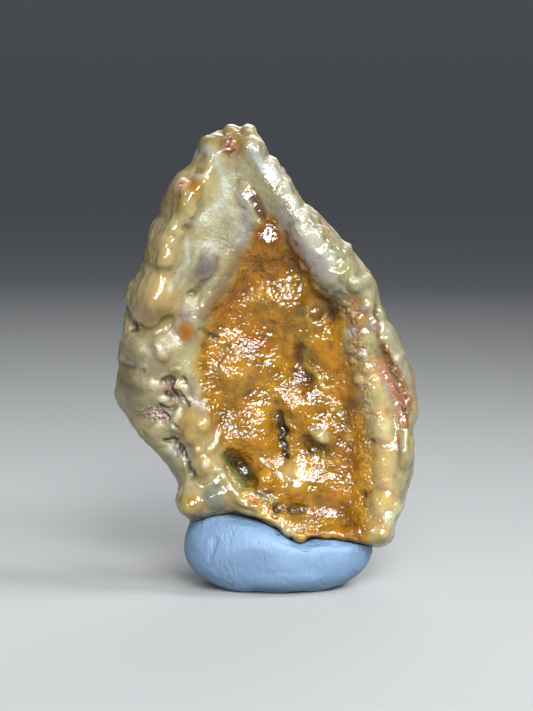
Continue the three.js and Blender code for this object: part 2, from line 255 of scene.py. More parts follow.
# Round caps that stand side by side: height, width, and the shift that makes each set another one.
EDGE_GRAPES = (0.22, 1.7, 3)
BASIN_GRAPES = (0.15, 1.5)
BASIN_PIMPLES = (0.07, 0.85, 40)
CREAM_GRAPES = (0.16, 1.3, 11)
BACK_GRAPES = (0.45, 2.6, 9)
BACK_PIMPLES = (0.2, 1.2, 2)
# How far the skin lies lower between such caps, so that they don't make the stone thicker.
EDGE_SINK = 0.15
BASIN_SINK = 0.12
CREAM_SINK = 0.08
BACK_SINK = 0.38
SKIN_ROUGHNESS = 0.05
CREAM_UNEVENNESS = 0.06

BASIN_OUTLINE = [
    (0.9, 47.2), (2.6, 44.5), (5.6, 41), (7.4, 38), (9, 35.5), (9.5, 31.5), (10.8, 28), (11.8, 24),
    (12.8, 19.5), (13.2, 14.5), (12.8, 9.5), (12, 5.6), (7, 5.2), (4, 6), (1.6, 8.4), (-1, 9.8),
    (-3.4, 12.4), (-6, 16.2), (-6.4, 19.8), (-8, 23), (-9.2, 27), (-9.2, 31), (-7.8, 34.4),
    (-5.6, 38.2), (-3.7, 41.8), (-2.3, 45.4),
]

# A form's place is the middle of an ellipse (x, z and its turn in degrees) or a list of points on a path.
# Its size is the ellipse's two half sizes, or the path's half width. These places are in several lists.
TIP_KNOB = (-4.6, 55.3)
ORANGE_KNOB = (-10.5, 50.2)
BIG_KNOB = (-14.2, 36.4)
LENS = (-7.6, 40.9, -28)
ORANGE_SPOT = (-10, 32.4)
CREVICED_KNOT = (-12, 25.3, 38)
SPECKLED_PATCH = (-13.9, 22.2, -15)
RINGED_BEAD = (12.9, 33.5)
RED_BEAD = (16.3, 21.6)
PALE_KNOB = (6.45, 19.5, -35)
EYE = (6, 34.85)
CREST = [(-1.5, 55), (2, 50.4), (5, 45.6), (8, 41.2)]
STREAK = [(-2, 49.6), (-1.2, 47.4)]
BASIN_LEFT_EDGE = [(-8.8, 33.4), (-7, 36.4), (-5, 39.4), (-3.4, 42.4)]
FLOW_LINE = [(5, 30.6), (4.6, 28.8), (5.4, 27.7), (6.4, 26.5), (6.9, 25.2)]
BLACK_SPLIT = [
    (1.3, 22), (1.75, 21.2), (1.6, 20.4), (2.15, 19.8), (1.65, 19), (2.2, 18.2), (2, 17.4), (2.5, 16.7),
]
RIM_GROOVE = [(13.7, 29.3), (14, 28.2), (14.6, 26.9), (15.3, 26), (16, 24.3), (16.2, 23.4)]

# Dark crevices in the left side: path, half width, depth, colour, painted half width, strength, soft edge.
CREVICES = [
    ([(-13.1, 26.5), (-12.3, 26.85), (-11.6, 26.5)], 0.38, 0.3, "220d0b", 0.34, 0.95, 0.9),
    ([(-11.9, 25.8), (-11.4, 25.2), (-11, 24.4)], 0.38, 0.28, "3a1c18", 0.36, 0.95, 0.9),
    ([(-12.7, 25), (-11.9, 24.35)], 0.38, 0.3, "160c0a", 0.34, 0.95, 0.9),
    ([(-10.5, 26.9), (-10.2, 26.3)], 0.35, 0.36, "3a1c14", 0.28, 0.9, 0.9),
    ([(-10.2, 24.4), (-9.85, 23.5)], 0.4, 0.36, "38150c", 0.34, 0.9, 0.9),
    ([(-13.3, 23.3), (-12.4, 23), (-11.4, 23)], 0.38, 0.35, "0e0705", 0.36, 0.95, 0.9),
    ([(-12.9, 22.4), (-12.3, 21.85)], 0.35, 0.3, "2a0f0a", 0.32, 0.9, 1),
    ([(-11.65, 21.3), (-11.3, 20.8)], 0.32, 0.3, "180a06", 0.32, 0.9, 1),
]

# Round knobs with a crease at their foot: place, size, rise.
KNOBS = [
    # the tip and the left roll
    ((-2.4, 57.4), (0.9, 1), 0.45),
    ((-4.6, 57.3), (0.9, 0.9), 0.4),
    ((-6.4, 56.6), (0.8, 0.8), 0.3),
    ((-7.4, 55.6), (1.5, 1.4), 0.45),
    (TIP_KNOB, (1.1, 1.4), 0.3),
    ((-0.9, 54.9), (1, 1.4), 0.3),
    ((-10.4, 50.2), (1.2, 1.1), 0.45),
    ((-8.6, 50.2), (1.1, 1.6), 0.15),
    (LENS, (1.35, 2.3), 0.45),
    # the cheek and the jaw
    ((-13.25, 30.2, -48), (1.6, 0.95), 0.4),
    ((-11.4, 27.7), (0.9, 0.8), 0.3),
    ((-16.5, 30.5), (1.7, 1.5), 0.4),
    ((-13.9, 25.9), (1.2, 0.8), 0.25),
    ((-13, 24.3), (1, 0.6), 0.25),
    ((-11.1, 26.2), (0.8, 0.6), 0.25),
    ((-16.2, 23.2), (1.6, 1.4), 0.35),
    ((-17, 26.9), (1.3, 1.2), 0.35),
    ((-13.6, 19.4), (1.9, 1.5), 0.5),
    ((-9.9, 19.5), (1, 0.9), 0.35),
    ((-8.7, 18), (0.45, 0.45), 0.3),
    ((-7.8, 21.4), (1.1, 1.3), 0.35),
    ((-9.9, 11.4), (1.7, 1.8), 0.5),
    ((-6.6, 12.2), (1.5, 1.6), 0.4),
    ((-8.1, 15.9), (1.3, 1.2), 0.4),
    # the right crest and the beaded rim
    ((6.6, 42.5), (0.8, 0.8), 0.3),
    ((9.4, 40.2), (1.6, 1.5), 0.35),
    ((9.8, 42.6), (0.8, 0.7), 0.25),
    ((6.6, 44.9), (1, 0.9), 0.25),
    ((4.4, 46.8), (0.9, 0.9), 0.25),
    ((1.8, 50.2), (0.9, 0.9), 0.25),
    ((10.6, 38.4), (1.1, 1), 0.35),
    ((12, 38.9), (0.9, 0.8), 0.3),
    ((12.9, 37.3), (0.6, 0.8), 0.25),
    ((12.2, 35.8), (0.85, 0.85), 0.4),
    (RINGED_BEAD, (0.8, 0.9), 0.42),
    ((11, 34.1), (1, 0.9), 0.45),
    ((10, 30.3), (0.65, 0.6), 0.4),
    ((10.5, 28.9), (0.6, 0.6), 0.4),
    ((11.5, 29.7), (0.95, 0.85), 0.5),
    ((12.3, 28), (1.15, 0.75), 0.35),
    ((11.1, 26.5), (0.7, 0.7), 0.4),
    ((13.2, 26.6), (0.8, 0.7), 0.5),
    ((13, 24.5), (1.6, 2.2), 0.22),
    ((14.1, 20.9), (1.5, 2.4), 0.18),
    ((14.5, 16.2), (1.7, 3.6), 0.22),
    ((14, 11.6), (1.9, 1.5), 0.3),
    ((15, 9.4), (1.2, 1.4), 0.25),
    ((14.3, 6.9), (1.8, 1.5), 0.3),
    ((17.05, 17.2), (1.1, 1.6), 0.3),
    (RED_BEAD, (0.8, 1.3), 0.35),
    ((16, 10.9), (0.9, 1.3), 0.35),
    ((16, 14.3), (0.9, 1.6), 0.3),
    ((14.1, 34.8), (0.7, 0.8), 0.2),
    ((15.2, 32), (0.8, 1.4), 0.15),
    ((16.3, 29.4), (0.7, 0.9), 0.2),
    ((17.2, 27.2), (0.6, 1.3), 0.12),
    ((17.8, 24.6), (0.6, 0.8), 0.2),
    ((18.1, 22), (0.6, 1.5), 0.15),
    ((18, 18.8), (0.6, 1), 0.2),
    ((15.4, 27.9), (0.5, 0.5), 0.3),
    ((16.2, 25.6), (0.5, 0.6), 0.3),
    ((14.6, 30.4), (0.45, 0.5), 0.3),
    ((16.9, 23.6), (0.5, 0.6), 0.3),
    ((9.4, 36.2), (0.6, 0.5), 0.35),
    ((9.9, 35.2), (0.5, 0.5), 0.3),
    ((8.9, 34.6), (0.5, 0.45), 0.3),
    # the basin and the foot
    (PALE_KNOB, (1.45, 0.85), 0.75),
    ((-0.45, 14.4), (1.05, 1.1), 0.5),
    (EYE, (0.7, 0.7), 0.35),
    ((9.2, 18), (0.7, 0.7), 0.3),
    ((3.9, 7.1), (1, 1), 0.5),
    ((2.4, 8), (0.9, 0.8), 0.35),
    ((7.6, 7.6), (1.4, 0.8), 0.3),
    ((10.4, 7.8), (1, 0.8), 0.3),
    ((3.2, 12.8), (1.2, 0.9), 0.3),
]
# Soft forms and grooves: place, size, rise.
SWELLS = [
    # creases round the left roll and its big knob
    ([(-17.9, 35.4), (-17.5, 34.2), (-16.9, 33.1), (-15.7, 32.6), (-14.5, 32.4), (-13.2, 32.9),
     (-12.2, 34)], 0.9, -0.5),
    ((-16.9, 33), (0.6, 0.55), -1.2),
    ([(-17.6, 32.6), (-17.9, 31.6)], 0.5, -0.15),
    ([(-15.4, 41.2), (-14, 40.6), (-12.6, 40.2)], 1, -0.24),
    ([(-13.6, 46.9), (-12.4, 46.6)], 0.9, -0.12),
    ([(-9.5, 48.9), (-10.3, 47.2), (-11.4, 45.2)], 1.5, 0.5),
    ([(-7.6, 50), (-8.6, 46.5), (-9.4, 43.4), (-10.2, 40.8), (-11.2, 38.6)], 0.9, -0.14),
    ([(-6.2, 41.6), (-6.3, 39.8), (-7.4, 38.9), (-8.6, 38.2), (-9.6, 37.3)], 0.4, -0.27),
    ((-9.7, 47.2), (1.3, 2.1), 0.8),
    ((-10.4, 46.1), (0.9, 1), 0.22),
    ((-11.4, 43.9), (0.8, 0.9), 0.15),
    ((-12.1, 41.9), (0.9, 1), 0.18),
    ((-12.5, 41.1), (1.3, 1.9), 0.7),
    ([(-8.9, 52.4), (-8, 52.1)], 0.3, -0.2),
    ([(-9.4, 51.9), (-8.6, 51.6), (-7.8, 51.6)], 0.3, 0.12),
    ([(-3.5, 51.2), (-3.9, 50.1)], 0.2, -0.15),
    ((-9.3, 37.3), (0.5, 0.4), -0.5),
    # the cheek's ledge and the rooted crevices under it
    ([(-18.4, 29), (-17.6, 28.5), (-16.8, 28.5)], 0.35, 0.15),
    ((-11.6, 25, 38), (2, 3), 0.7),
    ([(-18.3, 28.4), (-17.4, 28), (-16.6, 28.1)], 0.3, -0.1),
    ((-15.4, 27.7), (0.35, 0.3), -0.3),
    *[(path, width, -depth) for path, width, depth, *_ in CREVICES],
    ([(-11.1, 26.2), (-10.2, 25.6), (-9.6, 24.4)], 0.5, 0.4),
    ([(-11.2, 22.8), (-11.5, 21.6), (-11.8, 20.6)], 0.5, 0.35),
    ([(-12.6, 18.85), (-11.65, 19), (-10.7, 18.2), (-10.3, 17.1), (-9.8, 15.9), (-9.2, 14.7)],
     0.5, -0.6),
    ([(-10.5, 18.9), (-9.7, 17.2), (-9.1, 15.8)], 0.55, 0.3),
    ([(-5.5, 10.8), (-6.4, 10.1)], 0.25, -0.15),
    # sharp ridges and hollows at the basin's foot
    ([(-6.05, 20.1), (-6.4, 18.7), (-6.95, 18)], 0.4, 0.35),
    ([(-6.2, 15.6), (-5.1, 14.1), (-4.3, 13), (-3.6, 11.9), (-2.4, 11.2), (-1.4, 10.7)], 0.5, 0.5),
    ([(-4.9, 17.2), (-3.6, 15.6), (-2.4, 14)], 1, -0.35),
    ([(-2.1, 14.4), (-1.2, 12.9), (0.4, 12.4)], 0.5, -0.24),
    ([(2.5, 8.5), (4.2, 7.9), (6.2, 7.7)], 0.35, -0.21),
    ((1.2, 10.7), (0.8, 0.6), -0.5),
    ((0.8, 9.8), (0.6, 0.5), -0.4),
    ((3.6, 10.3), (1.6, 0.8), -0.3),
    # the middle of the basin
    ((-0.2, 43.7), (2.6, 3), 0.8),
    ((3.2, 17.8), (3.4, 3.8), 0.3),
    ([(-3, 49.5), (-2.2, 47.9), (-1.4, 46.2)], 1.3, 0.4),
    (BLACK_SPLIT, 0.42, -0.4),
    ([(2.1, 21.8), (2.6, 20.8), (3.5, 20.2)], 0.4, 0.2),
    ([(4.7, 19), (5.3, 17.9), (7, 17.7)], 0.8, -0.3),
    (FLOW_LINE, 0.5, 0.15),
    ([(4.2, 40.9), (5.8, 40), (6.2, 38.4)], 0.7, 0.25),
    ([(3.9, 40), (5, 39.3), (5.4, 38.3)], 0.4, -0.12),
    ([(4.6, 34.2), (5.2, 33.3), (6.6, 33.2), (7.5, 34.2)], 0.5, 0.25),
    ([(-8.4, 32.7), (-7.3, 32.4), (-6.3, 31.6)], 0.4, -0.21),
    # the right rim
    ([(4.4, 43.9), (5.9, 41.5), (7.5, 39.2)], 2.4, 0.9),
    ([(0.6, 53.2), (1.8, 51), (3.2, 48.6)], 1.2, 0.4),
    ([(6.4, 45.8), (7.5, 44.7)], 0.25, -0.15),
    ([(13.3, 35.2), (13.7, 33.4), (13.6, 31.9)], 0.5, -0.24),
    (RIM_GROOVE, 0.65, -0.08),
    ([(14.2, 30.6), (15, 29), (16.3, 26.8), (17.2, 24.6)], 0.5, -0.12),
    ([(12.9, 19), (14.8, 18.9)], 0.35, -0.08),
    ([(13.6, 13.2), (15.4, 12.8)], 0.35, -0.12),
    ((12.7, 18.8), (0.45, 0.45), -0.5),
    ((11.7, 12.4), (0.55, 0.5), -0.5),
    ([(15.6, 20), (16, 18.4), (15.9, 16.4)], 0.4, -0.1),
]


def fullness(x, z, place, size, uneven=1):
    """1 in the middle of a form, and 0 on its edge and outside it."""
    if isinstance(place, list):
        return np.maximum(0, 1 - (away_from_path(x, z, place) / size / uneven) ** 2)
    angle = math.radians(place[2]) if len(place) > 2 else 0
    dx, dz = x - place[0], z - place[1]
    across = (dx * math.cos(angle) + dz * math.sin(angle)) / size[0]
    along = (dz * math.cos(angle) - dx * math.sin(angle)) / size[1]
    return np.maximum(0, 1 - across**2 - along**2)


def wobble(places):
    """Makes forms wider and narrower along their length."""
    return 1 + 0.35 * clouds(places + 13, 0.8, 2)


def warped(places, cell=1.1, amount=0.2, shift=3):
    """The places' x and z, pushed to and fro so that forms drawn in them lose their even edges."""
    x = places[:, 0] + amount * clouds(places + shift, cell, 2)
    z = places[:, 2] + amount * clouds(places + shift + 57, cell, 2)
    return x, z


def small_forms(places):
    x, z = warped(places)
    knobs = np.zeros(len(x))
    for place, size, rise in KNOBS:
        knobs = np.maximum(knobs, rise * fullness(x, z, place, size) ** KNOB_EDGE)
    uneven = wobble(places)
    swells = np.zeros(len(x))
    for place, size, rise in SWELLS:
        swells += rise * fullness(x, z, place, size, uneven) ** SWELL_EDGE
    return knobs + swells


def stone_relief(places, facing, front, basin, skin):
    """How far each vertex is pushed out of the stone, in millimetres."""
    cream = 1 - basin
    edge = 1 - smoothstep(np.abs(facing), *FLAT)
    rise = smoothstep(facing, *FORMS) * small_forms(places)
    rise += edge * (grapes(places, *EDGE_GRAPES) - EDGE_SINK)
    rise += basin * (grapes(places, *BASIN_GRAPES) + grapes(places, *BASIN_PIMPLES) - BASIN_SINK)
    rise += skin * SKIN_ROUGHNESS * clouds(places, 1, 2)
    rise += skin * cream * front * (grapes(places, *CREAM_GRAPES) - CREAM_SINK)
    rise += cream * CREAM_UNEVENNESS * clouds(places + 4, 1.7, 2)
    rise += (1 - front) * (grapes(places, *BACK_GRAPES) + grapes(places, *BACK_PIMPLES) - BACK_SINK)
    return rise


# ---- The stone's colours ----
COLOUR_BLEEDING = 1  # how far the stone's colours run into one another, in vertices
CREAM_COLOUR = "bdb68c"
AMBER_COLOUR = "b4841c"
# Clouds of another colour: colour, size, shift, and the noise at which they start and are full.
CREAM_CLOUDS = [("b0a77a", 5, 0, -0.2, 1), ("b2b8a0", 3.5, 70, 0, 1.1)]
BACK_CLOUDS = [("a37f42", 7, 20, -0.4, 0.9), ("7b6a4a", 4, 90, 0.3, 1.2)]
AMBER_CLOUDS = [("a06c0c", 2.6, 5, -0.1, 0.9), ("bd9436", 1.8, 33, 0, 1)]
# What the stone's paint is taken down to, because the lamps are strong: on the cream and in the basin.
CREAM_THINNER = "d2cfcb"
AMBER_THINNER = "c4c088"

# Paint: display colour, place, size, strength, and how much of the form is soft edge.
RIM_PAINT = [
    # broad fields
    ("bfb280", [(-6.5, 53.5), (-10.2, 49.5), (-12.2, 45.5), (-13.6, 41)], 3.4, 0.9, 1),
    ("b4b18e", (-3.2, 50), (4.4, 4.6), 0.8, 1),
    ("aca98a", (-4.8, 44.8), (2.6, 4.2), 0.85, 1),
    ("b9b892", (-6.4, 38.6), (3.2, 2.6), 0.7, 1),
    ("9e9b7a", [(0, 53), (4, 48.5), (8, 43), (10.4, 40)], 3, 0.85, 1),
    ("a39c7c", (-14.6, 29.8), (4.4, 3.4), 0.8, 1),
    ("88805f", (-17.2, 26.6), (2.4, 3), 0.85, 1),
    ("8d856c", (-16.4, 24.2), (3, 2.4), 0.7, 1),
    ("b0a983", (-13.4, 19.6), (3, 2.2), 0.8, 1),
    ("a29f85", (-11.9, 15.8), (1.6, 2.6), 0.8, 1),
    ("c4ad69", (-9, 20.8), (2.7, 3), 0.9, 0.8),
    ("c3a760", (-8, 16.2), (2, 2.2), 0.8, 0.9),
    ("b49d5e", (-4, 11.4), (3.6, 2.2), 0.8, 1),
    # the tip
    ("9c8248", (-4.6, 56), (4.2, 2), 0.85, 1),
    ("a4904e", (-7.6, 55.6), (1.4, 1.4), 0.7, 1),
    ("9e823e", (-2.4, 57), (1.2, 0.8), 0.7, 1),
    ("88877b", (-0.8, 54.6), (0.8, 1.6), 0.7, 1),
    ("b0784c", TIP_KNOB, (1.1, 1.4), 0.8, 0.8),
    ("a27a72", (-4.7, 55.2), (0.8, 1.1), 0.9, 0.6),
    ("54301c", (-3.5, 57.5), (0.3, 0.25), 0.7, 1),
    # the roll on the left
    ("c6b782", (-13.4, 43.4), (2.4, 3.4), 0.85, 1),
    ("ac8d38", (-10.8, 48.6), (1.6, 1.6), 0.8, 1),
    ("9e6c04", (-8.9, 50.4), (1.4, 1.8), 0.95, 1),
    ("cfbc9c", ORANGE_KNOB, (0.85, 0.8), 0.9, 0.5),
    ("be6552", (-10.5, 50.25), (0.45, 0.3), 0.9, 0.8),
    ("40361f", [(-8.9, 52.3), (-8.1, 52.1)], 0.2, 0.9, 0.8),
    ("c7cec3", [(-9.4, 51.9), (-8.6, 51.6), (-7.8, 51.6)], 0.3, 0.7, 1),
    ("c0b27e", BIG_KNOB, (4.3, 4.2), 1, 0.5),
    ("bda46e", (-13.4, 36.2), (2.8, 2.8), 0.8, 1),
    ("b8ac84", (-17.2, 35.8), (0.8, 2), 0.7, 1),
    # painted shadow: a dark line in the crease under the big knob's left side
    ("5a4c2c", [(-18, 35.4), (-17.5, 34.2), (-17, 33.2)], 0.3, 0.6, 1),
    ("b0a06c", [(-17, 33.2), (-15.7, 32.6), (-14.5, 32.4), (-13.2, 32.9), (-12.4, 33.8)], 0.6, 0.5, 1),
    ("0c0b08", (-16.9, 33), (0.5, 0.42), 1, 0.7),
    # bluish-white streaks on the cream: painted reflections of lamp light, partly pale veins
    ("c4d0d6", [(-8.5, 54.4), (-7.1, 54.6), (-5.9, 52.9), (-5.3, 51.3), (-5, 50.2)], 0.55, 0.7, 0.8),
    ("c4ced2", [(-5, 49.6), (-6, 48.1), (-7.6, 47.4), (-8.7, 46)], 0.55, 0.6, 0.8),
    ("d2dce4", [(-9.8, 43.8), (-9.95, 41.4), (-11.2, 39.5), (-11.9, 38)], 0.5, 0.6, 0.8),
    ("c4d0dc", [(-2.2, 55.4), (-1.7, 54.1), (-1, 52.9), (0.6, 52)], 0.6, 0.7, 0.8),
    ("5d5230", [(-3.5, 51.2), (-3.9, 50.1)], 0.22, 0.9, 1),
    # the lens
    ("c8c2a8", LENS, (1.6, 2.6), 0.95, 0.3),
    ("847b78", (-7.55, 41.05, -28), (1.25, 2.15), 0.95, 0.5),
    ("5f5050", (-7.3, 41.2, -28), (0.5, 0.8), 0.7, 1),
    ("7c6c42", [(-6.2, 41.4), (-6.3, 39.8), (-7.4, 38.9), (-8.6, 38.2), (-9.6, 37.3)], 0.35, 0.6, 1),
    # stains left of the basin
    ("8a6a60", (-10.2, 35), (1.2, 1.6), 0.7, 1),
    ("a79080", (-10.9, 33), (1.4, 2), 0.6, 1),
    ("9c7c58", (-9.9, 32.3), (1.8, 2.2), 0.8, 1),
    ("b46e00", (-10.05, 32.5), (1.1, 1.4), 1, 0.9),
    # the cheek
    ("9a8058", (-13.2, 30.1, -48), (2, 1.3), 0.7, 0.8),
    ("bcb598", (-13.25, 30.2, -48), (1.55, 0.85), 0.95, 0.4),
    ("a03c26", (-13.7, 30.3), (0.3, 0.25), 0.9, 0.8),
    ("b4622a", (-13, 30.6), (0.35, 0.25), 0.8, 0.8),
    ("b89c4e", (-12.8, 29.5), (0.6, 0.5), 0.7, 1),
    ("b5a47d", (-16.5, 30.5), (1.6, 1.4), 0.6, 1),
    ("6a5c40", [(-18.3, 28.4), (-17.4, 28), (-16.6, 28.1)], 0.3, 0.5, 1),
    # painted highlight: a pale line along the top of the cheek's ledge
    ("cdd6d3", [(-18.4, 29.1), (-17.6, 28.7), (-16.9, 28.6)], 0.3, 0.7, 1),
    ("41433f", (-15.4, 27.7), (0.35, 0.32), 0.9, 0.8),
    ("c08e52", (-15, 27.8), (0.25, 0.25), 0.8, 1),
    ("65645c", [(-18.2, 25.9), (-17, 25.4), (-15.6, 25.3)], 0.6, 0.6, 1),
    ("e2e8e6", (-15.2, 28.4), (0.8, 0.4), 0.8, 1),
    ("a69552", (-11.4, 27.7), (0.8, 0.8), 0.95, 0.5),
    ("70482c", (-11.4, 27.65), (0.35, 0.35), 0.8, 1),
    # the crevices
    ("ae8e80", (-11.9, 25.4, 38), (1.8, 2.6), 0.8, 1),
    ("cdcab4", (-13.9, 25.9), (1, 0.8), 0.9, 0.8),
    ("d8dcd6", (-13, 24.3), (0.9, 0.7), 0.9, 0.8),
    ("cac2ae", (-12, 25.6), (0.7, 0.5), 0.8, 1),
    ("ccc79d", [(-11.1, 26.2), (-10.2, 25.6), (-9.6, 24.4)], 0.55, 0.9, 0.8),
    ("c8bfc8", SPECKLED_PATCH, (1.8, 1.2), 0.85, 0.8),
    ("8a5a48", (-12.7, 21.7), (0.8, 0.6), 0.7, 1),
    *[(colour, path, *look) for path, _, _, colour, *look in CREVICES],
    ("c8c9b4", [(-11.2, 22.8), (-11.5, 21.6), (-11.8, 20.6)], 0.5, 0.8, 1),
    ("7c7c80", (-11.5, 17.7, 20), (0.9, 1.1), 0.9, 0.8),
    ("c4c8c9", (-12, 17.9), (0.4, 0.6), 0.7, 1),
    ("a6a49c", [(-10.4, 18.9), (-9.6, 17.2), (-9, 15.8)], 0.5, 0.85, 1),
    ("261814", [(-12.6, 18.85), (-11.65, 19), (-10.7, 18.2), (-10.3, 17.1), (-9.8, 15.9),
     (-9.3, 14.9)], 0.34, 0.97, 0.9),
    ("ce652c", (-10, 14.3), (0.28, 0.28), 0.9, 0.8),
    ("c2c1b2", (-9.9, 13.8), (0.6, 0.5), 0.6, 1),
    # the left foot
    ("a39056", (-9.6, 10.8), (2.2, 2.4), 0.9, 0.8),
    ("b08832", (-9.3, 11.9), (1.3, 1.2), 0.8, 1),
    ("ccc85c", (-10.2, 11.1), (0.7, 0.6), 0.7, 1),
    ("868d83", (-6.7, 12.2), (1.7, 1.7), 0.9, 0.8),
    ("4c5856", (-6.4, 13.7), (0.7, 0.5), 0.8, 1),
    ("ead490", (-8.7, 18), (0.5, 0.5), 0.9, 0.6),
    ("b05621", [(-7.2, 22.6), (-6.8, 21.2), (-6.7, 20)], 0.5, 0.6, 1),
    ("a4907e", [(-9.5, 26.9), (-9.1, 24.6), (-8.2, 22.6)], 0.7, 0.8, 1),
    ("b6aa7a", (-8.1, 15.9), (1.2, 1), 0.8, 0.9),
    # the right crest and rim
    # painted highlight: a pale band along the crest where the lamps' glints fall, partly pale veins
    ("d6dcde", [(-0.6, 53.4), (1.6, 51), (2.9, 48.8), (4.5, 45.6), (5.8, 43.2), (7.5, 41.3),
     (8.2, 40)], 1.1, 0.6, 1),
    ("c0a667", (7, 45), (0.9, 0.8), 0.7, 1),
    ("5f5638", [(6.4, 45.8), (7.5, 44.7)], 0.22, 0.8, 1),
    ("aeaa80", (9.4, 40), (1.7, 1.7), 0.9, 0.8),
    ("acaa86", (10.8, 38.4), (1.6, 1.2), 0.8, 0.8),
    ("a8a694", [(13.4, 38), (14.4, 34.4), (15.9, 30.6), (17.2, 27.6), (18.3, 25)], 0.95, 0.9, 0.7),
    ("b0803b", [(10.4, 36.6), (11.2, 35.4), (11.2, 33)], 1.2, 0.8, 1),
    ("7b4f24", [(13, 35.9), (13.5, 33), (13.6, 31.9)], 0.45, 0.85, 1),
    ("b8b49a", (12.2, 35.8), (0.9, 0.9), 0.9, 0.5),
    ("a0604c", (12.2, 35.75), (0.35, 0.35), 0.8, 1),
    ("b2a898", RINGED_BEAD, (0.8, 0.85), 0.9, 0.5),
    ("96483a", (12.95, 33.45), (0.35, 0.4), 0.8, 1),
    ("b68a3e", [(9.7, 34), (10.6, 31.6), (11.2, 29), (11.6, 26)], 1.9, 0.8, 1),
    ("c0c0bc", (10.2, 32.6, -20), (0.9, 1.3), 0.85, 0.8),
    ("c4bd90", (11.6, 32), (0.8, 1), 0.7, 1),
    ("9fb0b6", (11.5, 30), (0.85, 0.8), 0.85, 0.8),
    ("aea48c", (10, 30.3), (0.65, 0.6), 0.85, 0.8),
    ("bca980", (10.5, 28.9), (0.6, 0.6), 0.85, 0.8),
    ("84684a", (12.3, 28), (1.15, 0.75), 0.9, 0.8),
    ("cbb9a6", (11.1, 26.5), (0.7, 0.7), 0.85, 0.8),
    ("b8b3aa", (12.6, 26.4), (1, 0.7), 0.85, 0.8),
    ("946838", [(14.1, 30.8), (15, 29), (16.2, 26.8), (17, 24.6), (17, 21)], 0.75, 0.95, 0.8),
    ("bcaaac", [(13.1, 29), (13.5, 27.4), (14.4, 25.8), (15.3, 24.6)], 0.45, 0.8, 1),
    ("c8947a", [(13.7, 29.4), (14, 28.2), (14.6, 26.9), (15.3, 26), (16, 24.3), (16.2, 23)],
     0.62, 0.95, 0.6),
    ("cdbe86", [(12.2, 28.6), (13, 25), (13.9, 21), (14.4, 16), (14.4, 11), (14.2, 7)], 1.9, 0.9, 1),
    ("beb87e", (13, 24.4), (1.4, 1.8), 0.8, 1),
    ("d0d0a8", (14.1, 20.8), (1.2, 1.8), 0.7, 1),
    ("cfc484", (14.5, 16.2), (1.3, 3), 0.8, 1),
    ("d8ca78", (14, 12), (1.3, 1.2), 0.8, 1),
    ("c4ccb8", (14.9, 9.8), (1, 1.2), 0.8, 0.8),
    ("c8934c", (13.4, 9.2), (0.9, 0.8), 0.8, 1),
    ("94925e", (14.3, 6.7), (1.7, 1.2), 0.9, 0.8),
    ("b06921", [(12.9, 22.6), (13.8, 22.3), (14.8, 23)], 0.3, 0.8, 1),
    ("a26f30", [(12.9, 19), (14.7, 18.95)], 0.3, 0.7, 1),
    ("a26f30", [(13.7, 13.15), (15.4, 12.8)], 0.3, 0.7, 1),
    ("bcaa84", RED_BEAD, (0.75, 1.15), 0.85, 0.5),
    ("be4e26", (16.3, 21.5), (0.35, 0.8), 0.9, 0.8),
    ("be582e", [(16.1, 20), (16.05, 18.2)], 0.25, 0.8, 1),
    ("b4b082", (17.1, 17.2), (0.95, 1.6), 0.95, 0.5),
    ("e4b888", (16.4, 16.6), (0.4, 0.8), 0.7, 1),
    ("9e987e", [(15.6, 15), (16.3, 13.4), (16.4, 12)], 0.6, 0.7, 1),
    ("7a664a", [(18.2, 16), (17.6, 13), (16.8, 10.4)], 0.9, 0.8, 1),
    ("c2c8a6", (16, 10.9), (0.65, 1), 0.8, 0.8),
    ("b9321d", (16, 9.6), (0.3, 0.25), 0.95, 0.7),
]
